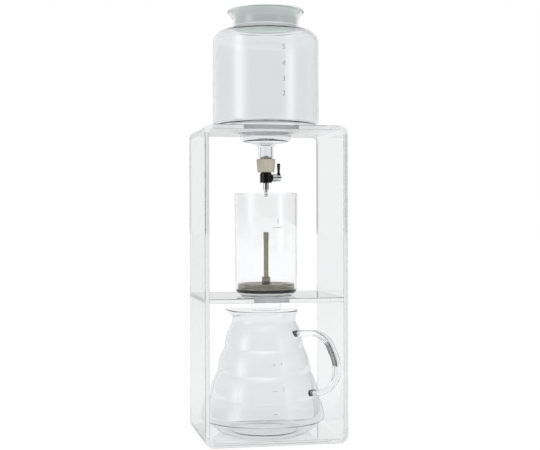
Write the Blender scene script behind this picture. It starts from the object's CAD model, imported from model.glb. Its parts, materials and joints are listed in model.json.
# %% [markdown]
# A cold drip coffee tower. Water in the glass tank drips through a small valve into a glass bowl
# of ground coffee, and the coffee runs down into a glass carafe. Nearly every piece is clear, so the
# picture is made by three things: true wall thickness, true edges and light that is white behind
# the object, pale at its sides and dark in front of it.

# %% Load the frame
import json
import math

import bmesh
import bpy
from mathutils import Matrix, Vector
from mathutils.bvhtree import BVHTree


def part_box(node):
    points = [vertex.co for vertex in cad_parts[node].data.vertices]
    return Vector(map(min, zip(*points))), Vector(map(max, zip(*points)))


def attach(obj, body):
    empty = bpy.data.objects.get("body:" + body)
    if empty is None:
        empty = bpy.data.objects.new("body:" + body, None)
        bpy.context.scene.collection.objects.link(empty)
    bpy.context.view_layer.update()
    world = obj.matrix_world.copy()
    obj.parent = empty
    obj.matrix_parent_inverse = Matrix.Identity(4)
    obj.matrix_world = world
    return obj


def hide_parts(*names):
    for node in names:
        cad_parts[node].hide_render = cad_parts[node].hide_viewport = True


MM = 0.001
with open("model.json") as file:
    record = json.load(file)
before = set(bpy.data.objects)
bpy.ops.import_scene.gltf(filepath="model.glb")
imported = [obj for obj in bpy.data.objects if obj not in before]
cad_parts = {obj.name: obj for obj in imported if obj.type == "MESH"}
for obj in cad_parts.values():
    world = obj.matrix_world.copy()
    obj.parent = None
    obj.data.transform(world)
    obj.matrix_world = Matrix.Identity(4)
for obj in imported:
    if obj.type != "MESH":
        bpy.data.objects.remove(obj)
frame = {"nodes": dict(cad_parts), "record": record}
scene = bpy.context.scene
scene.view_settings.view_transform = "Standard"
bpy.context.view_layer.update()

# %% [markdown]
# The camera stands a little left of straight ahead, about 1.36 m away at the height of the stand's
# middle. A long lens keeps the uprights parallel. The focal length is written in pixels of a
# picture 540 wide, because that is how it is measured from a photograph.

# %% Camera
PICTURE_WIDTH = 540
FOCAL_PIXELS = 1146.6
SENSOR = 36
CAMERA_DISTANCE = 1358.3 * MM
CAMERA_TURN = -0.1995
CAMERA_RISE = 0.0046
CAMERA_ROLL = 0.002
AIM_HEIGHT = 249.4 * MM
AIM_RIGHT = 4.69 * MM


def make_camera():
    """The camera looks at a point over the stand's middle, from its front and a little left."""
    back = Vector((
        math.sin(CAMERA_TURN) * math.cos(CAMERA_RISE),
        -math.cos(CAMERA_TURN) * math.cos(CAMERA_RISE),
        math.sin(CAMERA_RISE)))
    level = Vector((math.cos(CAMERA_TURN), math.sin(CAMERA_TURN), 0))
    right = Matrix.Rotation(-CAMERA_ROLL, 3, back) @ level
    up = back.cross(right)
    place = Vector((0, 0, AIM_HEIGHT)) + level * AIM_RIGHT + back * CAMERA_DISTANCE
    camera = bpy.data.objects.new("camera", bpy.data.cameras.new("camera"))
    camera.data.sensor_width = SENSOR
    camera.data.lens = FOCAL_PIXELS * SENSOR / PICTURE_WIDTH
    turn = Matrix((right, up, back)).transposed().to_4x4()
    camera.matrix_world = Matrix.Translation(place) @ turn
    scene.collection.objects.link(camera)
    scene.camera = camera
    return camera


camera = make_camera()
print("camera", [round(v, 3) for v in camera.location], "lens", round(camera.data.lens, 2))

# %% [markdown]
# Shader maths reads best as plain sums, so one small class stands for a socket and turns each sum
# into a Math node. A second one adds any other node: its settings first, and then its inputs.

# %% Shader maths
class Wire:
    """A number that a node gives, for use in sums."""

    def __init__(self, nodes, socket):
        self.nodes = nodes
        self.socket = socket

    def sum_of(self, operation, first, second):
        return self.nodes.add("ShaderNodeMath", {"operation": operation}, {0: first, 1: second})

    def __add__(self, other):
        return self.sum_of("ADD", self, other)

    def __sub__(self, other):
        return self.sum_of("SUBTRACT", self, other)

    def __rsub__(self, other):
        return self.sum_of("SUBTRACT", other, self)

    def __mul__(self, other):
        return self.sum_of("MULTIPLY", self, other)

    def __truediv__(self, other):
        return self.sum_of("DIVIDE", self, other)

    def __pow__(self, other):
        return self.sum_of("POWER", self, other)

    def largest(self, other):
        return self.sum_of("MAXIMUM", self, other)

    def exponential(self):
        return self.nodes.add("ShaderNodeMath", {"operation": "EXPONENT"}, {0: self})

    __radd__ = __add__
    __rmul__ = __mul__


class Nodes:
    """The nodes of a material, a lamp or the world."""

    def __init__(self, owner):
        owner.use_nodes = True
        self.tree = owner.node_tree
        self.tree.nodes.clear()

    def add(self, kind, settings=None, inputs=None, output=0):
        node = self.tree.nodes.new(kind)
        for name, value in (settings or {}).items():
            if name == "stops":
                self.set_stops(node.color_ramp.elements, value)
            else:
                setattr(node, name, value)
        for name, value in (inputs or {}).items():
            if isinstance(value, Wire):
                self.tree.links.new(value.socket, node.inputs[name])
            else:
                node.inputs[name].default_value = value
        if not node.outputs:
            return node
        return Wire(self, node.outputs[output])

    def set_stops(self, elements, stops):
        while len(elements) < len(stops):
            elements.new(0.5)
        for element, (place, colour) in zip(elements, stops):
            element.position = place
            element.color = colour

    def mix(self, factor, first, second):
        """A colour between two colours."""
        return self.add("ShaderNodeMix", {"data_type": "RGBA"}, {0: factor, 6: first, 7: second}, 2)

    def ramp(self, factor, stops):
        return self.add("ShaderNodeValToRGB", {"stops": stops}, {"Fac": factor})


def grey(level):
    return (level, level, level, 1)


print("shader helpers ready")

# %% [markdown]
# Clear things show what lies behind and beside them. The world is white for the camera and plain
# for matt surfaces, also through glass. For reflections and for rays through glass it has a
# direction: white behind, pale at the sides and dark in front, as beside a photographer's black
# cloth. That gives glass its grey edges and turns the middle of a chromed tube dark. Both kinds of
# ray also see two soft windows and a light overhead: the windows are the tank's upright highlights,
# and because they end above, the bands of the carafe cut them into squares. A window mirrored in
# glass behind a panel of the stand arrives as a ray through glass, so both kinds have to see it.

# %% World
PLAIN_LIGHT = 0.85
THROUGH_STOPS = [
    (0.0, grey(0.02)),
    (0.18, grey(0.05)),
    (0.34, grey(0.09)),
    (0.50, grey(0.17)),
    (0.66, grey(0.30)),
    (0.80, grey(0.50)),
    (0.90, grey(0.86)),
    (0.96, grey(1.0)),
]
MIRROR_STOPS = [
    (0.0, grey(0.02)),
    (0.16, grey(0.06)),
    (0.28, grey(0.40)),
    (0.50, grey(0.75)),
    (0.72, grey(0.82)),
    (0.90, grey(0.84)),
]
# Each patch: direction round the object, rise, width, height, strength
LEFT_WINDOW = (math.radians(-72), math.radians(13), 0.15, 0.34, 2.3)
RIGHT_WINDOW = (math.radians(42), math.radians(12), 0.20, 0.34, 0.9)
OVERHEAD = (0, math.radians(70), 0.80, 0.10, 2.5)


def patch(azimuth, rise, place, spread, middle, height, strength):
    """A soft bright patch round a direction."""
    side = (azimuth - place) / spread
    up = (rise - middle) / height
    return (side * side * -1 - up * up).exponential() * strength


def make_world():
    world = bpy.data.worlds.new("studio")
    scene.world = world
    nodes = Nodes(world)
    direction = nodes.add("ShaderNodeTexCoord", output="Generated")
    right = nodes.add("ShaderNodeSeparateXYZ", inputs={0: direction}, output="X")
    back = nodes.add("ShaderNodeSeparateXYZ", inputs={0: direction}, output="Y")
    rise = nodes.add("ShaderNodeSeparateXYZ", inputs={0: direction}, output="Z")
    azimuth = right.sum_of("ARCTAN2", right, back * -1)
    windows = patch(azimuth, rise, *LEFT_WINDOW) + patch(azimuth, rise, *RIGHT_WINDOW)
    windows = windows + patch(azimuth, rise, *OVERHEAD)
    mirror = nodes.ramp(back * 0.5 + 0.5, MIRROR_STOPS) + windows
    seen = nodes.add("ShaderNodeLightPath", output="Is Camera Ray")
    mirrored = nodes.add("ShaderNodeLightPath", output="Is Glossy Ray")
    through = nodes.add("ShaderNodeLightPath", output="Is Transmission Ray")
    scattered = nodes.add("ShaderNodeLightPath", output="Diffuse Depth")
    clean = scattered.sum_of("LESS_THAN", scattered, 0.5)
    beyond = nodes.ramp(back * 0.5 + 0.5, THROUGH_STOPS) + windows
    clear = mirrored * (1 - through) * mirror + through * beyond
    directed = mirrored.largest(through) * clean
    strength = seen + clear * clean + (1 - seen) * (1 - directed) * PLAIN_LIGHT
    light = nodes.add("ShaderNodeBackground", inputs={"Color": grey(1), "Strength": strength})
    nodes.add("ShaderNodeOutputWorld", inputs={"Surface": light})


make_world()
print("world", scene.world.name)

# %% [markdown]
# Two lamps light the matt pieces and give the floor its soft shadow. They stay out of reflections,
# where the world's windows stand for them.

# %% Lamps
AIM = Vector((0, 0, 0.27))


def softbox(name, turn, rise, distance, width, height, power):
    """Area lamp at an angle from straight ahead, facing the object."""
    away = Vector((
        math.sin(turn) * math.cos(rise), -math.cos(turn) * math.cos(rise), math.sin(rise)))
    lamp = bpy.data.lights.new(name, "AREA")
    lamp.shape = "RECTANGLE"
    lamp.size = width
    lamp.size_y = height
    lamp.energy = power
    light = bpy.data.objects.new(name, lamp)
    turned_to = away.to_track_quat("Z", "Y").to_matrix().to_4x4()
    light.matrix_world = Matrix.Translation(AIM + away * distance) @ turned_to
    light.visible_glossy = False
    light.visible_transmission = False
    scene.collection.objects.link(light)


softbox(
    "left_softbox", turn=math.radians(-70), rise=math.radians(10), distance=1.6, width=0.5,
    height=1.1, power=5)
softbox(
    "top_softbox", turn=math.radians(-10), rise=math.radians(72), distance=1.5, width=0.9,
    height=0.9, power=4)
print("lamps 2")

# %% [markdown]
# The floor is pale and matt. To the camera it is mostly its own white, so that it meets the
# background without a line, and the rest of its light keeps the object's soft shadow.

# %% Floor
FLOOR_SIZE = 40
FLOOR_DROP = 0.3 * MM
FLOOR_GLOW = 0.85
FLOOR_PAINT = 0.9
FLOOR_WHITE = 1.06


def make_floor():
    bm = bmesh.new()
    bmesh.ops.create_grid(bm, x_segments=1, y_segments=1, size=FLOOR_SIZE / 2)
    bmesh.ops.translate(bm, verts=bm.verts[:], vec=(0, 0, -FLOOR_DROP))
    mesh = bpy.data.meshes.new("floor")
    bm.to_mesh(mesh)
    floor = bpy.data.objects.new("floor", mesh)
    material = bpy.data.materials.new("floor_white")
    nodes = Nodes(material)
    seen = nodes.add("ShaderNodeLightPath", output="Is Camera Ray")
    through = nodes.add("ShaderNodeLightPath", output="Is Transmission Ray")
    matt = nodes.add("ShaderNodeBsdfDiffuse", inputs={"Color": grey(FLOOR_PAINT)})
    glow = nodes.add("ShaderNodeEmission", inputs={"Color": grey(FLOOR_WHITE)})
    share = (seen + through) * FLOOR_GLOW
    surface = nodes.add("ShaderNodeMixShader", inputs={0: share, 1: matt, 2: glow})
    nodes.add("ShaderNodeOutputMaterial", inputs={"Surface": surface})
    mesh.materials.append(material)
    scene.collection.objects.link(floor)


make_floor()
print("floor", FLOOR_SIZE, "m")

# %% [markdown]
# Most finishes here are one shader with a little unevenness in it. Clear glass that was blown has a
# faint long ripple and a thin haze from washing; polished sheet has fine straight scratches; chrome
# and steel have fine lines that blur what they mirror.

# %% Finish helpers
def start_finish(name):
    material = bpy.data.materials.new(name)
    nodes = Nodes(material)
    place = nodes.add("ShaderNodeTexCoord", output="Object")
    return material, nodes, place


def noise(nodes, place, scale, detail=2.0, stretch=None):
    """Soft noise, its grains per metre given by scale, drawn out where stretch is small."""
    if stretch:
        place = nodes.add("ShaderNodeMapping", inputs={"Vector": place, "Scale": stretch})
    inputs = {"Vector": place, "Scale": scale, "Detail": detail}
    return nodes.add("ShaderNodeTexNoise", inputs=inputs)


def bump(nodes, height, distance, strength=1.0):
    inputs = {"Height": height, "Distance": distance, "Strength": strength}
    return nodes.add("ShaderNodeBump", inputs=inputs)


def end_finish(material, nodes, **sockets):
    """Ends a finish with one principled shader; a socket's name has _ for each space."""
    inputs = {name.replace("_", " "): value for name, value in sockets.items()}
    shader = nodes.add("ShaderNodeBsdfPrincipled", inputs=inputs)
    nodes.add("ShaderNodeOutputMaterial", inputs={"Surface": shader})
    return material


print("finish helpers ready")


# %% Clear finishes
LID_GLOW = 0.16
SLEEVE_GLOW = 0.03
BORE_GLOW = 0.2


def clear_sheet(name, density, clearness=1.0, dullness=0.0, glow=0.0):
    """Cast acrylic: very clear, with fine scratches; bored and bent faces are duller."""
    material, nodes, place = start_finish(name)
    scratch = noise(nodes, place, 900, stretch=(0.05, 1, 1))
    return end_finish(
        material, nodes, Base_Color=(0.885, 0.897, 0.902, 1), Roughness=scratch * 0.03 + dullness,
        IOR=density, Transmission_Weight=clearness, Emission_Color=grey(1), Emission_Strength=glow,
        Normal=bump(nodes, scratch, 0.01 * MM, 0.2))


def blown_glass(name, colour, wave=0.25 * MM):
    """Clear blown glass with a long ripple; drawn glass has none."""
    material, nodes, place = start_finish(name)
    ripple = noise(nodes, place, 28, 1.0)
    haze = noise(nodes, place, 260)
    return end_finish(
        material, nodes, Base_Color=colour, Roughness=haze * 0.03, IOR=1.47,
        Transmission_Weight=1.0, Normal=bump(nodes, ripple, wave, 0.5))


def frosted_plastic():
    """The lid: clear plastic with a fine matt skin. Its glow is light scattered inside it."""
    material, nodes, place = start_finish("frosted_plastic")
    grain = noise(nodes, place, 1500)
    return end_finish(
        material, nodes, Base_Color=(0.78, 0.82, 0.80, 1), Roughness=grain * 0.2 + 0.3, IOR=1.45,
        Transmission_Weight=0.15, Emission_Color=(0.92, 1.0, 0.96, 1), Emission_Strength=LID_GLOW,
        Normal=bump(nodes, grain, 0.03 * MM, 0.5))


def silicone():
    """Milky beige silicone, with a little light scattered inside it."""
    material, nodes, place = start_finish("silicone")
    cloud = noise(nodes, place, 120)
    colour = nodes.mix(cloud, (0.86, 0.80, 0.69, 1), (0.75, 0.69, 0.56, 1))
    grain = noise(nodes, place, 1800)
    return end_finish(
        material, nodes, Base_Color=colour, Roughness=0.42, IOR=1.41, Transmission_Weight=0.2,
        Emission_Color=colour, Emission_Strength=SLEEVE_GLOW,
        Normal=bump(nodes, grain, 0.02 * MM, 0.4))


print("clear finishes ready")


# %% Metal, rubber and ink
def black_metal():
    """Gloss black plating."""
    material, nodes, place = start_finish("black_metal")
    dull = noise(nodes, place, 400)
    return end_finish(
        material, nodes, Base_Color=(0.008, 0.008, 0.009, 1), Roughness=dull * 0.12 + 0.08,
        Specular_IOR_Level=0.3, Coat_Weight=0.25, Coat_Roughness=0.04,
        Normal=bump(nodes, dull, 0.01 * MM, 0.3))


def chrome():
    material, nodes, place = start_finish("chrome")
    dull = noise(nodes, place, 700)
    return end_finish(
        material, nodes, Base_Color=(0.80, 0.80, 0.82, 1), Metallic=1.0,
        Roughness=dull * 0.1 + 0.04)


def turned_steel(name, colour, roughness):
    """Steel with the fine rings that turning leaves."""
    material, nodes, place = start_finish(name)
    rings = noise(nodes, place, 2500, stretch=(0.05, 0.05, 1))
    stain = noise(nodes, place, 90)
    worn = nodes.mix(stain, colour, tuple(0.8 * c for c in colour[:3]) + (1,))
    return end_finish(
        material, nodes, Base_Color=worn, Metallic=1.0, Roughness=rings * 0.2 + roughness,
        Normal=bump(nodes, rings, 0.02 * MM, 0.4))


def black_rubber():
    material, nodes, place = start_finish("black_rubber")
    grain = noise(nodes, place, 1200)
    return end_finish(
        material, nodes, Base_Color=nodes.mix(grain, grey(0.012), grey(0.035)), Roughness=0.55,
        Normal=bump(nodes, grain, 0.03 * MM, 0.5))


def printed_ink(name, level):
    """Grey ink printed on the glass, a little thin in places."""
    material, nodes, place = start_finish(name)
    thin = noise(nodes, place, 900)
    return end_finish(
        material, nodes, Base_Color=nodes.mix(thin, grey(level), grey(level * 1.5)), Roughness=0.6)


ACRYLIC = 1.49
CUT_DENSITY = 2.0

FINISHES = {
    "clear_sheet": clear_sheet("clear_sheet", ACRYLIC),
    "tank_glass": blown_glass("tank_glass", (0.90, 0.912, 0.922, 1)),
    "bowl_glass": blown_glass("bowl_glass", (0.982, 0.984, 0.988, 1)),
    "carafe_glass": blown_glass("carafe_glass", (0.905, 0.912, 0.920, 1)),
    "silicone": silicone(),
    "frosted_plastic": frosted_plastic(),
    "black_metal": black_metal(),
    "chrome": chrome(),
    "steel": turned_steel("steel", (0.62, 0.61, 0.58, 1), 0.25),
    "filter_steel": turned_steel("filter_steel", (0.36, 0.335, 0.25, 1), 0.12),
    "grip_steel": turned_steel("grip_steel", (0.46, 0.44, 0.385, 1), 0.35),
    "black_rubber": black_rubber(),
}
CUT_EDGE = clear_sheet("cut_edge", CUT_DENSITY)
SATIN_EDGE = clear_sheet("satin_edge", ACRYLIC, clearness=0.12, dullness=0.3)
BORED_EDGE = clear_sheet("bored_edge", ACRYLIC, clearness=0.12, dullness=0.3, glow=BORE_GLOW)
EDGES = (CUT_EDGE, SATIN_EDGE, BORED_EDGE)
CUT_SLOT, SATIN_SLOT, BORED_SLOT = 1, 2, 3
DRAWN_GLASS = blown_glass("drawn_glass", (0.93, 0.935, 0.94, 1), 0.01 * MM)
FINE_MESH = turned_steel("fine_mesh", (0.06, 0.055, 0.04, 1), 0.5)
INK = printed_ink("tank_ink", 0.30)
PALE_INK = printed_ink("bowl_ink", 0.42)
slot_of = {piece["node"]: piece["material_slot"] for piece in frame["record"]["subparts"]}
for node, model in frame["nodes"].items():
    model.data.materials.clear()
    model.data.materials.append(FINISHES[slot_of[node]])
frame["nodes"]["filter_mesh"].data.materials[0] = FINE_MESH
print("finishes", len(FINISHES))

# %% [markdown]
# Nearly every piece is turned, so the main helper draws half an outline as a wire, rounds its
# corners with a vertex bevel and spins it once round. A glass wall is spun as its outer face alone
# and gets its thickness afterwards, because then both faces follow each other like blown glass.

# %% Turned shapes
SPIN_STEPS = 128
MIDDLE_SPIN = 64
SMALL_SPIN = 48
ROUND_STEP = math.radians(9)
TOUCH = 1e-7


def round_off(bm, geom, offset, segments, affect="EDGES"):
    bmesh.ops.bevel(
        bm, geom=geom, offset=offset, offset_type="OFFSET", segments=segments, profile=0.5,
        affect=affect, material=-1)


def draw_out(bm):
    """Extrudes all the faces and gives the new end's vertices, to be moved."""
    drawn = bmesh.ops.extrude_face_region(bm, geom=bm.faces[:])["geom"]
    return [item for item in drawn if isinstance(item, bmesh.types.BMVert)]


def draw_outline(bm, corners, closed, step=ROUND_STEP):
    """Wire of (radius, height, round) corners in the XZ plane."""
    points = [Vector((x, 0, z)) for x, z, rounding in corners]
    verts = [bm.verts.new(point) for point in points]
    for first, second in zip(verts, verts[1:]):
        bm.edges.new((first, second))
    if closed:
        bm.edges.new((verts[-1], verts[0]))
    last = len(corners) - 1
    for i, (x, z, rounding) in enumerate(corners):
        if rounding <= 0 or (not closed and i in (0, last)):
            continue
        after = points[(i + 1) % len(points)] - points[i]
        turn = (points[i] - points[i - 1]).angle(after)
        segments = max(2, math.ceil(turn / step))
        round_off(bm, [verts[i]], rounding * math.tan(turn / 2), segments, "VERTICES")


def spin(bm, axis, steps):
    bmesh.ops.spin(
        bm, geom=bm.verts[:] + bm.edges[:], cent=(0, 0, 0), axis=axis, angle=math.tau, steps=steps,
        use_merge=True)
    bmesh.ops.remove_doubles(bm, verts=bm.verts[:], dist=TOUCH)
    loose = [edge for edge in bm.edges if not edge.link_faces]
    bmesh.ops.delete(bm, geom=loose, context="EDGES")
    bmesh.ops.recalc_face_normals(bm, faces=bm.faces[:])


def turned(corners, steps=SMALL_SPIN):
    """A piece turned about the Z axis from a closed outline."""
    bm = bmesh.new()
    draw_outline(bm, corners, True)
    spin(bm, (0, 0, 1), steps)
    return bm


def blown(corners, wall, rim_round):
    """A vessel whose outer face follows an open outline, its rims rounded."""
    bm = bmesh.new()
    draw_outline(bm, corners, False)
    spin(bm, (0, 0, 1), SPIN_STEPS)
    bmesh.ops.solidify(bm, geom=bm.faces[:], thickness=wall)
    bm.normal_update()
    rims = [edge for edge in bm.edges if edge.calc_face_angle(0) > math.radians(70)]
    round_off(bm, rims, rim_round, 4)
    return bm


def along_spindle(bm, height):
    """Turns a piece that was made about Z to lie along X, at the spindle's height."""
    quarter = Matrix.Rotation(math.pi / 2, 3, "Y")
    bmesh.ops.rotate(bm, verts=bm.verts[:], cent=(0, 0, 0), matrix=quarter)
    bmesh.ops.translate(bm, verts=bm.verts[:], vec=(0, 0, height))
    return bm


print("turned shapes ready")

# %% [markdown]
# Each finished mesh becomes one object that rides on its body and stands for its plain solid. It
# is shaded smooth, and a Weighted Normal modifier lets broad faces win over the narrow faces of a
# round, so that a flat sheet mirrors like a flat sheet right up to its edge.

# %% Placing a piece
SHARP = math.radians(32)


def place_piece(bm, name, body, finish, replaced=()):
    mesh = bpy.data.meshes.new(name)
    bm.to_mesh(mesh)
    bm.free()
    mesh.polygons.foreach_set("use_smooth", [True] * len(mesh.polygons))
    mesh.set_sharp_from_angle(angle=SHARP)
    piece = bpy.data.objects.new(name, mesh)
    scene.collection.objects.link(piece)
    slot = finish if isinstance(finish, str) else None
    mesh.materials.append(FINISHES[slot] if slot else finish)
    piece.modifiers.new("even_light", "WEIGHTED_NORMAL").keep_sharp = True
    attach(piece, body)
    if replaced:
        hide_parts(*replaced)
    print(name, len(mesh.polygons), "faces, rides on", body)
    return piece


def join(*parts):
    """One mesh from several."""
    whole = bmesh.new()
    for part in parts:
        mesh = bpy.data.meshes.new("part")
        part.to_mesh(mesh)
        part.free()
        whole.from_mesh(mesh)
        bpy.data.meshes.remove(mesh)
    return whole


# %% [markdown]
# The stand is one strip of clear sheet, bent at four corners. It starts as a rounded rectangle that
# is inset by the sheet's thickness, loses its middle and is drawn out from front to back. Polished
# edges are never quite sharp, so the front and back edges get a small bevel: it catches the light
# as a thin line, which is most of what shows of the stand. The sawn faces, the bends' front faces
# and the hole's wall get a finish each.

# %% Stand sizes
stand_low, stand_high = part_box("stand_loop")
shelf_low, shelf_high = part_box("stand_shelf")
SHEET = 5 * MM
STAND_BEND = 9.5 * MM
EDGE_POLISH = 0.2 * MM
TANK_HOLE = 32.5 * MM
SHELF_HOLE = 21 * MM
HOLE_STEPS = 96
CONTACT = 0.05 * MM
BORE_REACH = TANK_HOLE + 1 * MM
BEND_FACE = 40 * MM * MM


def outer_edges(bm, y_places):
    """Edges between the sheet's broad faces and its cut faces at the given Y."""
    found = []
    for edge in bm.edges:
        flat = all(min(abs(v.co.y - y) for y in y_places) < TOUCH for v in edge.verts)
        if flat and edge.calc_face_angle(0) > math.radians(60):
            found.append(edge)
    return found


def mark_cut_faces(bm):
    """Gives the sawn faces, the bends' front faces and the hole the finishes that EDGES lists."""
    bm.normal_update()
    for face in bm.faces:
        middle = face.calc_center_median()
        if abs(face.normal.z) < 0.5 and Vector((middle.x, middle.y)).length < BORE_REACH:
            face.material_index = BORED_SLOT
        elif face.normal.y < -0.5 and face.calc_area() < BEND_FACE:
            face.material_index = SATIN_SLOT
        elif abs(face.normal.y) > 0.5:
            face.material_index = CUT_SLOT


def cut_hole(bm, radius, top):
    """Cuts a round hole through the flat sheet whose upper face is at the given height."""
    rings = []
    for height in (top, top - SHEET):
        wide = [face for face in bm.faces
                if abs(face.normal.z) > 0.99 and abs(face.calc_center_median().z - height) < TOUCH]
        face = max(wide, key=lambda f: f.calc_area())
        border = face.edges[:]
        bmesh.ops.delete(bm, geom=[face], context="FACES_ONLY")
        turn = Matrix.Translation((0, 0, height))
        circle = bmesh.ops.create_circle(bm, segments=HOLE_STEPS, radius=radius, matrix=turn)
        ring = list({edge for vert in circle["verts"] for edge in vert.link_edges})
        bmesh.ops.triangle_fill(bm, edges=border + ring, use_beauty=True)
        rings += ring
    bmesh.ops.bridge_loops(bm, edges=rings)
    bmesh.ops.recalc_face_normals(bm, faces=bm.faces[:])
    bm.normal_update()


# %% Bent stand loop
def make_stand():
    bm = bmesh.new()
    draw_outline(bm, [
        (stand_low.x, 0, STAND_BEND),
        (stand_high.x, 0, STAND_BEND),
        (stand_high.x, stand_high.z, STAND_BEND),
        (stand_low.x, stand_high.z, STAND_BEND)], True)
    bmesh.ops.translate(bm, verts=bm.verts[:], vec=(0, stand_low.y, 0))
    plate = bmesh.ops.contextual_create(bm, geom=bm.edges[:])["faces"]
    bmesh.ops.inset_region(
        bm, faces=plate, thickness=SHEET, use_even_offset=True, use_boundary=True)
    bmesh.ops.delete(bm, geom=plate, context="FACES")
    bmesh.ops.translate(bm, verts=draw_out(bm), vec=(0, stand_high.y - stand_low.y, 0))
    bmesh.ops.recalc_face_normals(bm, faces=bm.faces[:])
    bm.normal_update()
    round_off(bm, outer_edges(bm, (stand_low.y, stand_high.y)), EDGE_POLISH, 1)
    cut_hole(bm, TANK_HOLE, stand_high.z)
    mark_cut_faces(bm)
    return bm


loop = place_piece(make_stand(), "bent_clear_loop", "stand", "clear_sheet", ["stand_loop"])


# %% Shelf
def make_shelf():
    bm = bmesh.new()
    size = shelf_high - shelf_low - Vector((2 * CONTACT, 0, 0))
    middle = (shelf_high + shelf_low) / 2
    stretch = Matrix.Translation(middle) @ Matrix.Diagonal((*size, 1))
    bmesh.ops.create_cube(bm, size=1, matrix=stretch)
    bm.normal_update()
    round_off(bm, outer_edges(bm, (shelf_low.y, shelf_high.y)), EDGE_POLISH, 1)
    cut_hole(bm, SHELF_HOLE, shelf_high.z)
    mark_cut_faces(bm)
    return bm


shelf = place_piece(make_shelf(), "clear_shelf", "stand", "clear_sheet", ["stand_shelf"])
for sheet in (loop, shelf):
    for edge_finish in EDGES:
        sheet.data.materials.append(edge_finish)

# %% [markdown]
# The water tank is blown: a wide jar with a rounded shoulder and a flared mouth above, a flat ring
# that rests on the stand, and a bulb that drops through the stand's hole and ends in the outlet.

# %% Water tank
tank_low, tank_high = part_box("water_tank")
TANK_WALL = 2.5 * MM
TANK_RADIUS = tank_high.x
TANK_SEAT = stand_high.z
TANK_FLOOR = TANK_SEAT + 4 * MM
TANK_SHOULDER = TANK_FLOOR + 106.2 * MM
NECK_RADIUS = 39 * MM
NECK_FOOT = TANK_SHOULDER + 10.2 * MM
FLARE_FOOT = NECK_FOOT + 10.1 * MM
RIM_RADIUS = 45.2 * MM
OUTLET_RADIUS = 9 * MM
BULB_RADIUS = 30.2 * MM
BULB_BOTTOM = TANK_SEAT - 14.6 * MM
SEAT_EDGE = TANK_HOLE + 6 * MM
BLOWN_ROUND = 0.4

TANK_OUTLINE = [
    (OUTLET_RADIUS, tank_low.z, 0),
    (OUTLET_RADIUS, BULB_BOTTOM - 3.9 * MM, 4 * MM),
    (BULB_RADIUS, BULB_BOTTOM, 6 * MM),
    (BULB_RADIUS, TANK_SEAT + CONTACT, 1.15 * MM),
    (SEAT_EDGE, TANK_SEAT + CONTACT, TANK_WALL + 1.5 * MM),
    (SEAT_EDGE + 5 * MM, TANK_FLOOR, TANK_WALL),
    (TANK_RADIUS, TANK_FLOOR, 5 * MM),
    (TANK_RADIUS, TANK_SHOULDER, 14 * MM),
    (NECK_RADIUS, NECK_FOOT, TANK_WALL),
    (NECK_RADIUS, FLARE_FOOT, 2 * TANK_WALL),
    (RIM_RADIUS, FLARE_FOOT + 6.5 * MM, TANK_WALL + 1 * MM),
    (RIM_RADIUS, tank_high.z, 0),
]
water_tank = place_piece(
    blown(TANK_OUTLINE, TANK_WALL, BLOWN_ROUND * TANK_WALL), "glass_water_tank", "tank",
    "tank_glass", ["water_tank"])

# %% Frosted lid
lid_low, lid_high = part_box("tank_lid")
LID_RADIUS = lid_high.x
LID_SKIRT = NECK_RADIUS - TANK_WALL - 0.35 * MM
LID_WALL = 2 * MM
LID_DISH = LID_SKIRT - 6 * MM
LID_ROUND = 0.4 * MM
DISH_DEPTH = 0.8 * MM
brim_foot = tank_high.z + CONTACT

LID_OUTLINE = [
    (0, brim_foot, 0),
    (LID_SKIRT - LID_WALL, brim_foot, LID_ROUND),
    (LID_SKIRT - LID_WALL, lid_low.z, LID_ROUND),
    (LID_SKIRT, lid_low.z, LID_ROUND),
    (LID_SKIRT, brim_foot, 0),
    (LID_RADIUS, brim_foot, LID_ROUND),
    (LID_RADIUS, lid_high.z, 1.1 * MM),
    (LID_DISH + DISH_DEPTH, lid_high.z, LID_ROUND),
    (LID_DISH, lid_high.z - DISH_DEPTH, LID_ROUND),
    (0, lid_high.z - DISH_DEPTH, 0),
]
place_piece(turned(LID_OUTLINE, SPIN_STEPS), "frosted_lid", "lid", "frosted_plastic", ["tank_lid"])

# %% [markdown]
# The stopper is one silicone moulding: a plug inside the outlet neck and a sleeve outside it.

# %% Stopper
stopper_low, stopper_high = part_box("stopper")
PUSH_GAP = 0.1 * MM
INLET_RADIUS = 3 * MM
STOPPER_SPIN = 96
SLEEVE_TOP = tank_low.z + 8.3 * MM
groove_outer = OUTLET_RADIUS + PUSH_GAP
groove_inner = OUTLET_RADIUS - TANK_WALL - PUSH_GAP

STOPPER_OUTLINE = [
    (INLET_RADIUS + PUSH_GAP, stopper_low.z, 0),
    (9.9 * MM, stopper_low.z, 0.8 * MM),
    (stopper_high.x, SLEEVE_TOP, 0.8 * MM),
    (groove_outer, SLEEVE_TOP, 0.2 * MM),
    (groove_outer, tank_low.z - PUSH_GAP, 0),
    (groove_inner, tank_low.z - PUSH_GAP, 0),
    (groove_inner, stopper_high.z, 0.8 * MM),
    (INLET_RADIUS + PUSH_GAP, stopper_high.z, 0),
]
place_piece(
    turned(STOPPER_OUTLINE, STOPPER_SPIN), "silicone_stopper", "tank", "silicone", ["stopper"])

# %% [markdown]
# The valve is a small black barrel with a threaded stub at its right. A chromed nut with fine ribs
# closes the stub, and behind it the lever turns on the spindle.

# %% Valve body
valve_low, valve_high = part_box("valve_body")
VALVE_RADIUS = -valve_low.x
VALVE_CHAMFER = 2 * MM
SPINDLE_HEIGHT = valve_high.z - 6.8 * MM
STUB_RADIUS = 3.9 * MM
SMALL_ROUND = 0.4 * MM


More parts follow.
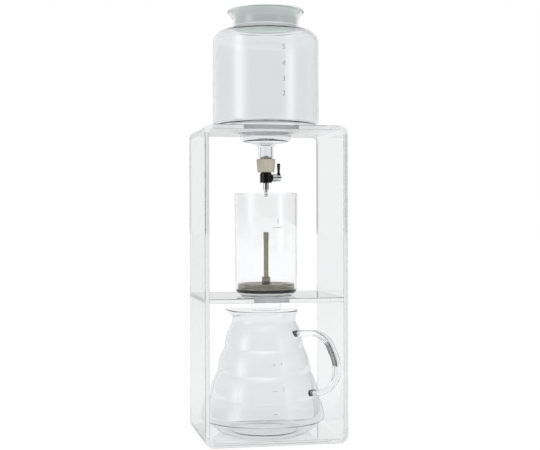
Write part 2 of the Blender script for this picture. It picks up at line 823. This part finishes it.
def make_valve():
    barrel = turned([
        (0, valve_low.z, 0),
        (VALVE_RADIUS, valve_low.z, SMALL_ROUND),
        (VALVE_RADIUS, valve_high.z - VALVE_CHAMFER, SMALL_ROUND),
        (VALVE_RADIUS - VALVE_CHAMFER, valve_high.z, SMALL_ROUND),
        (0, valve_high.z, 0)], MIDDLE_SPIN)
    stub = along_spindle(turned([
        (0, VALVE_RADIUS / 2, 0),
        (STUB_RADIUS, VALVE_RADIUS / 2, 0),
        (STUB_RADIUS, valve_high.x, SMALL_ROUND),
        (0, valve_high.x, 0)]), SPINDLE_HEIGHT)
    return join(barrel, stub)


place_piece(make_valve(), "black_valve", "tank", "black_metal", ["valve_body"])

# %% Ribbed gland nut
gland_low, gland_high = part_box("gland_nut")
GLAND_RADIUS = gland_high.z - SPINDLE_HEIGHT
GLAND_RIBS = 24
RIB_DEPTH = 0.35 * MM
SPINDLE_RADIUS = 1.6 * MM
RUNNING_GAP = 0.05 * MM


def make_gland():
    """A ribbed ring and a plain end wall round the spindle."""
    bm = bmesh.new()
    rim = bmesh.ops.create_circle(bm, segments=4 * GLAND_RIBS, radius=GLAND_RADIUS)["verts"]
    valleys = [vert for i, vert in enumerate(rim) if i % 4 in (2, 3)]
    shrink = 1 - RIB_DEPTH / GLAND_RADIUS
    bmesh.ops.scale(bm, verts=valleys, vec=(shrink, shrink, 1))
    face = bmesh.ops.contextual_create(bm, geom=bm.edges[:])["faces"]
    bmesh.ops.inset_region(bm, faces=face, thickness=SMALL_ROUND, depth=0, use_even_offset=True)
    bmesh.ops.translate(bm, verts=rim, vec=(0, 0, SMALL_ROUND))
    length = gland_high.x - gland_low.x
    for vert in draw_out(bm):
        vert.co.z = length - vert.co.z
    bmesh.ops.recalc_face_normals(bm, faces=bm.faces[:])
    bmesh.ops.translate(bm, verts=bm.verts[:], vec=(0, 0, gland_low.x))
    return along_spindle(bm, SPINDLE_HEIGHT)


place_piece(make_gland(), "ribbed_gland_nut", "tank", "chrome", ["gland_nut"])

# %% Nozzle and drip tube
nozzle_low, nozzle_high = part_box("nozzle")
tip_low, tip_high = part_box("drip_tip")
NOZZLE_RADIUS = nozzle_high.x
TUBE_RADIUS = 1.9 * MM
BALL_RADIUS = 2.35 * MM

NOZZLE_OUTLINE = [
    (TUBE_RADIUS, valve_low.z, 0),
    (TUBE_RADIUS, nozzle_low.z, 0),
    (NOZZLE_RADIUS, nozzle_low.z, SMALL_ROUND),
    (NOZZLE_RADIUS, valve_low.z, SMALL_ROUND),
]


def make_tip():
    """A thin tube that ends in a ball."""
    ball = bmesh.new()
    middle = Matrix.Translation((0, 0, tip_low.z + BALL_RADIUS))
    bmesh.ops.create_uvsphere(ball, u_segments=32, v_segments=24, radius=BALL_RADIUS, matrix=middle)
    tube = turned([
        (0, tip_low.z + BALL_RADIUS, 0),
        (TUBE_RADIUS, tip_low.z + BALL_RADIUS, 0),
        (TUBE_RADIUS, tip_high.z, 0),
        (0, tip_high.z, 0)])
    return join(ball, tube)


place_piece(turned(NOZZLE_OUTLINE), "chromed_nozzle", "tank", "chrome", ["nozzle"])
place_piece(make_tip(), "drip_tube", "tank", "chrome", ["drip_tip"])

# %% Lever
hub_low, hub_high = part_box("lever_hub")
lever_low, lever_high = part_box("lever_rod")
HUB_RADIUS = hub_high.y
HUB_GROOVE = 0.35 * MM
HUB_ROUND = 0.9 * MM
GROOVE_MOUTH = 0.6 * MM
GROOVE_FLOOR = 0.3 * MM
LEVER_RADIUS = 1.45 * MM
LEVER_END = 2.1 * MM
COLLAR_RADIUS = 2.3 * MM
LEVER_PLACE = (lever_low.x + lever_high.x) / 2


def make_hub():
    """The hub has a shallow groove round its middle."""
    middle = (hub_low.x + hub_high.x) / 2
    bore = SPINDLE_RADIUS + RUNNING_GAP
    return along_spindle(turned([
        (bore, hub_low.x, 0),
        (HUB_RADIUS, hub_low.x, HUB_ROUND),
        (HUB_RADIUS, middle - GROOVE_MOUTH, 0.15 * MM),
        (HUB_RADIUS - HUB_GROOVE, middle - GROOVE_FLOOR, 0.1 * MM),
        (HUB_RADIUS - HUB_GROOVE, middle + GROOVE_FLOOR, 0.1 * MM),
        (HUB_RADIUS, middle + GROOVE_MOUTH, 0.15 * MM),
        (HUB_RADIUS, hub_high.x, HUB_ROUND),
        (bore, hub_high.x, 0)], MIDDLE_SPIN), SPINDLE_HEIGHT)


def make_lever():
    hub_top = SPINDLE_HEIGHT + HUB_RADIUS
    bm = turned([
        (0, hub_top - 1 * MM, 0),
        (LEVER_RADIUS, hub_top - 1 * MM, 0),
        (LEVER_RADIUS, hub_top - 0.2 * MM, 0),
        (COLLAR_RADIUS, hub_top - 0.2 * MM, 0.1 * MM),
        (COLLAR_RADIUS, hub_top + 0.8 * MM, SMALL_ROUND),
        (LEVER_RADIUS, hub_top + 2 * MM, SMALL_ROUND),
        (LEVER_END, lever_high.z, 1.2 * MM),
        (0, lever_high.z, 0)])
    bmesh.ops.translate(bm, verts=bm.verts[:], vec=(LEVER_PLACE, 0, 0))
    return bm


place_piece(make_hub(), "chromed_hub", "tap", "chrome", ["lever_hub"])
place_piece(make_lever(), "black_lever", "tap", "black_metal", ["lever_rod"])

# %% [markdown]
# The coffee bowl is a plain cylinder that opens a little towards its mouth. Its bottom turns in
# with a soft round and out again into the wide spout that hangs through the shelf.

# %% Coffee bowl
bowl_low, bowl_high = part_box("coffee_bowl")
BOWL_WALL = 2 * MM
SPOUT_RADIUS = 17.4 * MM
SPOUT_END = 17.9 * MM
BOWL_BOTTOM = 36.3 * MM
BOWL_MOUTH = bowl_high.x
BOWL_FOOT = shelf_high.z + CONTACT

BOWL_OUTLINE = [
    (SPOUT_END, bowl_low.z, 0),
    (SPOUT_RADIUS, BOWL_FOOT, 3 * MM),
    (BOWL_BOTTOM, BOWL_FOOT, 8.5 * MM),
    (BOWL_MOUTH, bowl_high.z, 0),
]
coffee_bowl = place_piece(
    blown(BOWL_OUTLINE, BOWL_WALL, BLOWN_ROUND * BOWL_WALL), "glass_coffee_bowl", "bowl",
    "bowl_glass", ["coffee_bowl"])

# %% [markdown]
# The filter's drum is thin steel with hundreds of punched holes. A sheet of small squares is made
# first; each square is inset and loses its middle, the rest gets its thickness. The flat sheet is
# trimmed to a disc for the top, and a strip of it is closed into the drum's side.

# %% Filter drum sizes
cap_low, cap_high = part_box("filter_cap")
DRUM_RADIUS = cap_high.x
DRUM_SHEET = 0.5 * MM
HOLE_PITCH = 3.0 * MM
HOLE_WIDTH = 2.1 * MM
DRUM_SHOULDER = 1.2 * MM
SIDE_COLUMNS = int(math.tau * DRUM_RADIUS / HOLE_PITCH)
SIDE_MARGIN = 0.7 * MM
SIDE_ROWS = 2
TOP_MARGIN = 5.0 * MM
SHOULDER_LAP = 0.1 * MM
SHOULDER_PROUD = 0.02 * MM


def punch(bm, cells):
    """Makes a hole in each cell of a sheet and gives the sheet its thickness."""
    border = (HOLE_PITCH - HOLE_WIDTH) / 2
    bmesh.ops.inset_individual(bm, faces=cells, thickness=border, use_even_offset=True)
    bmesh.ops.delete(bm, geom=cells, context="FACES_ONLY")
    bmesh.ops.solidify(bm, geom=bm.faces[:], thickness=DRUM_SHEET)


# %% Drum side
def make_drum_side():
    """A ring of punched squares between two plain bands."""
    bm = bmesh.new()
    top = cap_high.z - DRUM_SHOULDER
    rows_top = top - SIDE_MARGIN
    rows_foot = cap_low.z + SIDE_MARGIN
    heights = [cap_low.z]
    heights += [rows_foot + (rows_top - rows_foot) * i / SIDE_ROWS for i in range(SIDE_ROWS + 1)]
    heights += [top]
    draw_outline(bm, [(DRUM_RADIUS, height, 0) for height in heights], False)
    spin(bm, (0, 0, 1), SIDE_COLUMNS)
    punch(bm, [f for f in bm.faces if rows_foot < f.calc_center_median().z < rows_top])
    return bm


def make_drum_shoulder():
    """The rounded edge of the drum and the plain margin of its top."""
    return turned([
        (DRUM_RADIUS - TOP_MARGIN, cap_high.z - DRUM_SHEET, 0),
        (DRUM_RADIUS - DRUM_SHOULDER, cap_high.z - DRUM_SHEET, 0.5 * MM),
        (DRUM_RADIUS - DRUM_SHEET, cap_high.z - DRUM_SHOULDER - SHOULDER_LAP, 0),
        (DRUM_RADIUS + SHOULDER_PROUD, cap_high.z - DRUM_SHOULDER - SHOULDER_LAP, 0),
        (DRUM_RADIUS + SHOULDER_PROUD, cap_high.z, DRUM_SHOULDER),
        (DRUM_RADIUS - TOP_MARGIN, cap_high.z, 0)], SIDE_COLUMNS)


# %% Drum top
def make_drum_top():
    """A square sheet of holes, trimmed to the drum's margin."""
    bm = bmesh.new()
    reach = DRUM_RADIUS - TOP_MARGIN + HOLE_PITCH / 2
    cells = 2 * math.ceil(reach / HOLE_PITCH)
    bmesh.ops.create_grid(bm, x_segments=cells, y_segments=cells, size=cells * HOLE_PITCH / 2)
    far = [f for f in bm.faces if f.calc_center_median().length > reach]
    bmesh.ops.delete(bm, geom=far, context="FACES")
    bmesh.ops.translate(bm, verts=bm.verts[:], vec=(0, 0, cap_high.z - CONTACT))
    punch(bm, bm.faces[:])
    return bm


drum = join(make_drum_side(), make_drum_shoulder(), make_drum_top())
place_piece(drum, "punched_drum", "filter", "filter_steel", ["filter_cap"])

# %% Gasket, post, grip and nut
gasket_low, gasket_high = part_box("filter_gasket")
post_low, post_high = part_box("filter_post")
grip_low, grip_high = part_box("post_grip")
nut_low, nut_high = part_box("post_nut")
GASKET_INNER = 29.4 * MM
GASKET_PRESS = 0.42 * MM
POST_RADIUS = post_high.x
POST_FOOT_RADIUS = 2 * MM
POST_STEP = cap_high.z + 3.4 * MM
NUT_CORNER = nut_high.x
NUT_CHAMFER = 0.65 * MM

GASKET_OUTLINE = [
    (GASKET_INNER, gasket_low.z, 0.3 * MM),
    (gasket_high.x - 0.6 * MM + GASKET_PRESS, gasket_low.z, 0.2 * MM),
    (gasket_high.x + GASKET_PRESS, gasket_high.z, 0.2 * MM),
    (GASKET_INNER, gasket_high.z, 0.3 * MM),
]
POST_OUTLINE = [
    (0, post_low.z, 0),
    (POST_FOOT_RADIUS, post_low.z, SMALL_ROUND),
    (POST_FOOT_RADIUS, POST_STEP, 0),
    (POST_RADIUS, POST_STEP, 0),
    (POST_RADIUS, grip_low.z, 0.2 * MM),
    (0, grip_low.z, 0),
]
GRIP_OUTLINE = [
    (0, grip_low.z, 0),
    (grip_high.x, grip_low.z, SMALL_ROUND),
    (grip_high.x, grip_high.z, 0.8 * MM),
    (0, grip_high.z, 0),
]


def make_nut():
    """A hexagon prism whose ends are inset and raised, which leaves the chamfer."""
    bm = bmesh.new()
    bmesh.ops.create_circle(bm, cap_ends=True, segments=6, radius=NUT_CORNER)
    bmesh.ops.rotate(bm, verts=bm.verts[:], matrix=Matrix.Rotation(math.radians(30), 3, "Z"))
    lifted = draw_out(bm)
    bmesh.ops.translate(bm, verts=bm.verts[:], vec=(0, 0, nut_low.z))
    bmesh.ops.translate(bm, verts=lifted, vec=(0, 0, nut_high.z - nut_low.z))
    bmesh.ops.recalc_face_normals(bm, faces=bm.faces[:])
    bm.normal_update()
    ends = [e for e in bm.edges if abs(e.verts[0].co.z - e.verts[1].co.z) < TOUCH]
    round_off(bm, ends, NUT_CHAMFER, 2)
    return bm


place_piece(
    turned(GASKET_OUTLINE, SPIN_STEPS), "gasket_ring", "filter", "black_rubber", ["filter_gasket"])
place_piece(turned(POST_OUTLINE), "steel_post", "filter", "filter_steel", ["filter_post"])
place_piece(turned(GRIP_OUTLINE), "steel_grip", "filter", "grip_steel", ["post_grip"])
place_piece(make_nut(), "hexagon_nut", "filter", "filter_steel", ["post_nut"])

# %% [markdown]
# The carafe's side has four soft bands, each narrower than the one below. After the spin its mouth
# is drawn out into a pouring lip, opposite the handle, by a smooth push that fades to the sides and
# down the neck.

# %% Carafe body
body_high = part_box("carafe_body")[1]
CARAFE_SHIFT = -2.7 * MM
CARAFE_WALL = 2 * MM
CARAFE_FOOT = SHEET + CONTACT
CARAFE_RADIUS = 70.4 * MM
FOOT_RADIUS = 52 * MM
PUNT_RADIUS = 38 * MM
PUNT_RISE = 1.2 * MM
BOTTOM_ROUND = 14 * MM
BAND_TAPER = 0.7 * MM
CREASE_ROUND = 3 * MM
BULGE_ROUND = 46 * MM
CARAFE_BANDS = [
    (CARAFE_RADIUS, 22 * MM, 38 * MM),
    (63.2 * MM, 48 * MM, 66 * MM),
    (54.6 * MM, 76.5 * MM, 93.5 * MM),
    (46.1 * MM, 105.6 * MM, 120 * MM),
]
CARAFE_NECK = 37 * MM
CARAFE_MOUTH = 40 * MM
NECK_DROP = 12 * MM
NECK_ROUND = 9 * MM
LIP_DEPTH = 9 * MM
LIP_REACH = 12.3 * MM
LIP_SPREAD = math.radians(26)
HANDLE_TURN = math.radians(40.36)


def carafe_outline():
    path = [
        (0, CARAFE_FOOT + PUNT_RISE, 0),
        (PUNT_RADIUS, CARAFE_FOOT + PUNT_RISE, PUNT_RISE),
        (PUNT_RADIUS + 2 * PUNT_RISE, CARAFE_FOOT, CARAFE_WALL + 1 * MM),
        (FOOT_RADIUS, CARAFE_FOOT, BOTTOM_ROUND),
    ]
    for radius, foot, top in CARAFE_BANDS:
        crease = BOTTOM_ROUND / 2 if radius == CARAFE_RADIUS else CREASE_ROUND
        path.append((radius + BAND_TAPER, foot, crease))
        path.append((radius - BAND_TAPER, top, BULGE_ROUND))
    path.append((CARAFE_NECK, body_high.z - NECK_DROP, NECK_ROUND))
    path.append((CARAFE_MOUTH, body_high.z, 0))
    return path


def draw_lip(bm):
    """Pushes the mouth outwards on the side opposite the handle."""
    lip_angle = math.pi - HANDLE_TURN
    outwards = Vector((math.cos(lip_angle), math.sin(lip_angle), 0))
    for vert in bm.verts:
        rise = 1 - (body_high.z - vert.co.z) / LIP_DEPTH
        if rise <= 0:
            continue
        angle = Vector((vert.co.x, vert.co.y)).angle(Vector((outwards.x, outwards.y)))
        side = math.exp(-(angle / LIP_SPREAD) ** 2)
        vert.co += outwards * LIP_REACH * side * rise ** 2


carafe = blown(carafe_outline(), CARAFE_WALL, BLOWN_ROUND * CARAFE_WALL)
draw_lip(carafe)
bmesh.ops.translate(carafe, verts=carafe.verts[:], vec=(CARAFE_SHIFT, 0, 0))
glass_carafe = place_piece(carafe, "glass_carafe", "carafe", "carafe_glass", ["carafe_body"])

# %% [markdown]
# The handle is a flat strap of solid glass. Its route is drawn as a wire with rounded corners, and
# a rounded section is carried along it, a little wider where it is fused to the carafe.

# %% Carafe handle
STRAP_WIDTH = 13.5 * MM
STRAP_THICKNESS = 6.5 * MM
STRAP_CORNER = 2.2 * MM
STRAP_REACH = CARAFE_RADIUS + 26.6 * MM
STRAP_TOP = body_high.z - 23.1 * MM
STRAP_FOOT = SHEET + 51 * MM
STRAP_STEP = math.radians(3)
FLARE = 0.12
FLARE_LENGTH = 9 * MM
TOP_ROOT = STRAP_TOP - 2.4 * MM
FOOT_ROOT = STRAP_FOOT - 0.9 * MM
STRAP_ROUTE = [
    (40 * MM, STRAP_TOP - 2.9 * MM, 0),
    (STRAP_REACH - 17 * MM, STRAP_TOP, 24 * MM),
    (STRAP_REACH, STRAP_TOP - 35.5 * MM, 36 * MM),
    (STRAP_REACH - 5 * MM, STRAP_FOOT, 28 * MM),
    (58 * MM, STRAP_FOOT - 1 * MM, 0),
]


def strap_stations():
    """Points along the route, in order."""
    bm = bmesh.new()
    draw_outline(bm, STRAP_ROUTE, False, STRAP_STEP)
    ends = [vert for vert in bm.verts if len(vert.link_edges) == 1]
    here = max(ends, key=lambda v: v.co.z)
    points = [here.co.copy()]
    edge = here.link_edges[0]
    while True:
        here = edge.other_vert(here)
        points.append(here.co.copy())
        onward = [other for other in here.link_edges if other is not edge]
        if not onward:
            break
        edge = onward[0]
    bm.free()
    return points


def carry(points):
    """Carries the strap's section along the points."""
    bm = bmesh.new()
    size = Matrix.Diagonal((STRAP_THICKNESS, STRAP_WIDTH, 1, 1))
    eighth = Matrix.Rotation(math.radians(45), 4, "Z")
    bmesh.ops.create_circle(bm, segments=4, radius=math.sqrt(0.5), matrix=size @ eighth)
    round_off(bm, bm.verts[:], STRAP_CORNER, 8, "VERTICES")
    total = sum((b - a).length for a, b in zip(points, points[1:]))
    run = 0.0
    last = Matrix.Identity(4)
    ring = bm.edges[:]
    for i, point in enumerate(points):
        before = points[max(i - 1, 0)]
        after = points[min(i + 1, len(points) - 1)]
        along = (after - before).normalized()
        run += (point - before).length
        widen = 1 + FLARE * math.exp(-(min(run, total - run) / FLARE_LENGTH) ** 2)
        across = Vector((0, 1, 0))
        turn = Matrix((across.cross(along), across, along)).transposed().to_4x4()
        here = Matrix.Translation(point) @ turn @ Matrix.Diagonal((widen, widen, 1, 1))
        if i:
            drawn = bmesh.ops.extrude_edge_only(bm, edges=ring)["geom"]
            ring = [item for item in drawn if isinstance(item, bmesh.types.BMEdge)]
        moved = list({vert for edge in ring for vert in edge.verts})
        bmesh.ops.transform(bm, matrix=here @ last.inverted(), verts=moved)
        last = here
    return bm


def wall_at(height):
    """A point on the carafe's outer face at a height, and the way out from the wall there."""
    path = [Vector((x, 0, z)) for x, z, rounding in carafe_outline()]
    for low, high in zip(path, path[1:]):
        if low.z < height <= high.z:
            run = high - low
            return low + run * ((height - low.z) / run.z), Vector((run.z, 0, -run.x)).normalized()


def trim(bm, height, upper):
    """Cuts one end of the strap off inside the carafe's wall and closes it."""
    place, outwards = wall_at(height)
    middle = (STRAP_TOP + STRAP_FOOT) / 2
    faces = [face for face in bm.faces if (face.calc_center_median().z > middle) == upper]
    edges = {edge for face in faces for edge in face.edges}
    verts = {vert for face in faces for vert in face.verts}
    bmesh.ops.bisect_plane(
        bm, geom=[*verts, *edges, *faces], plane_co=place - outwards * CARAFE_WALL / 2,
        plane_no=outwards, clear_inner=True)


def make_handle():
    bm = carry(strap_stations())
    trim(bm, TOP_ROOT, True)
    trim(bm, FOOT_ROOT, False)
    bmesh.ops.holes_fill(bm, edges=[edge for edge in bm.edges if len(edge.link_faces) == 1])
    bmesh.ops.recalc_face_normals(bm, faces=bm.faces[:])
    bmesh.ops.rotate(bm, verts=bm.verts[:], matrix=Matrix.Rotation(-HANDLE_TURN, 3, "Z"))
    bmesh.ops.translate(bm, verts=bm.verts[:], vec=(CARAFE_SHIFT, 0, 0))
    return bm


handle = place_piece(make_handle(), "glass_handle", "carafe", "carafe_glass", ["carafe_handle"])
handle.data.materials[0] = DRAWN_GLASS

# %% [markdown]
# The printed marks are plain: numbers and short lines. Each is flat lettering turned into a mesh,
# wrapped round the glass and set a hair above it.

# %% Marks
MARK_LIFT = 0.06 * MM


def wrap(bm, glass, radius, facing):
    """Lays a flat drawing on the outside of a glass; facing is measured from the front."""
    mesh = glass.data
    tree = BVHTree.FromPolygons(
        [vert.co for vert in mesh.vertices], [face.vertices[:] for face in mesh.polygons])
    for vert in bm.verts:
        angle = facing + vert.co.x / radius
        outwards = Vector((math.sin(angle), -math.cos(angle), 0))
        start = outwards * 2 * radius + Vector((0, 0, vert.co.y))
        place, normal = tree.ray_cast(start, -outwards)[:2]
        vert.co = place + normal * MARK_LIFT


def lettering(text, size, x, height):
    """Flat text, its middle at x and its foot at the given height."""
    curve = bpy.data.curves.new("text", "FONT")
    curve.body = text
    curve.size = size
    curve.align_x = "CENTER"
    holder = bpy.data.objects.new("text", curve)
    scene.collection.objects.link(holder)
    bpy.context.view_layer.update()
    flat = bpy.data.meshes.new_from_object(holder)
    bpy.data.objects.remove(holder)
    bm = bmesh.new()
    bm.from_mesh(flat)
    bpy.data.meshes.remove(flat)
    bmesh.ops.translate(bm, verts=bm.verts[:], vec=(x, height, 0))
    return bm


def stroke(x, height, width, thickness):
    """A short level line."""
    bm = bmesh.new()
    place = Matrix.Translation((x, height, 0)) @ Matrix.Diagonal((width, thickness, 1, 1))
    bmesh.ops.create_grid(bm, x_segments=6, y_segments=1, size=0.5, matrix=place)
    return bm


# %% Tank marks
TANK_MARK_SIZE = 8.2 * MM
TANK_MARK_TURN = math.radians(8)
TANK_MARKS = {"2": 396.5 * MM, "3": 413 * MM, "4": 430.5 * MM, "5": 449 * MM}
tank_print = join(*[
    lettering(number, TANK_MARK_SIZE, 0, height) for number, height in TANK_MARKS.items()])
wrap(tank_print, water_tank, TANK_RADIUS, TANK_MARK_TURN)
place_piece(tank_print, "tank_numbers", "tank", INK)

# %% Bowl marks
BOWL_LINE = 0.7 * MM
BOWL_LINE_HEIGHT = 246.5 * MM
BOWL_MARK_SIZE = 7 * MM
BOWL_MARK_HEIGHT = 252 * MM
BOWL_MARK_TURN = math.radians(10.5)
bowl_print = join(
    stroke(0, BOWL_LINE_HEIGHT, 12 * MM, BOWL_LINE),
    lettering("5", BOWL_MARK_SIZE, 0, BOWL_MARK_HEIGHT))
wrap(bowl_print, coffee_bowl, BOWL_MOUTH, BOWL_MARK_TURN)
place_piece(bowl_print, "bowl_fill_line", "bowl", PALE_INK)

# %% Carafe marks
SCALE_LINE = 0.8 * MM
SCALE_SIZE = 6 * MM
SCALE_ASIDE = 12 * MM
SCALE_TURN = math.radians(-2)
carafe_print = join(
    stroke(0, 36 * MM, 5 * MM, SCALE_LINE),
    stroke(0, 61 * MM, 6 * MM, SCALE_LINE), lettering("2", SCALE_SIZE, SCALE_ASIDE, 61 * MM),
    stroke(0, 90 * MM, 4 * MM, SCALE_LINE), lettering("4", SCALE_SIZE, SCALE_ASIDE, 89 * MM))
wrap(carafe_print, glass_carafe, CARAFE_RADIUS, SCALE_TURN)
place_piece(carafe_print, "carafe_scale", "carafe", PALE_INK)
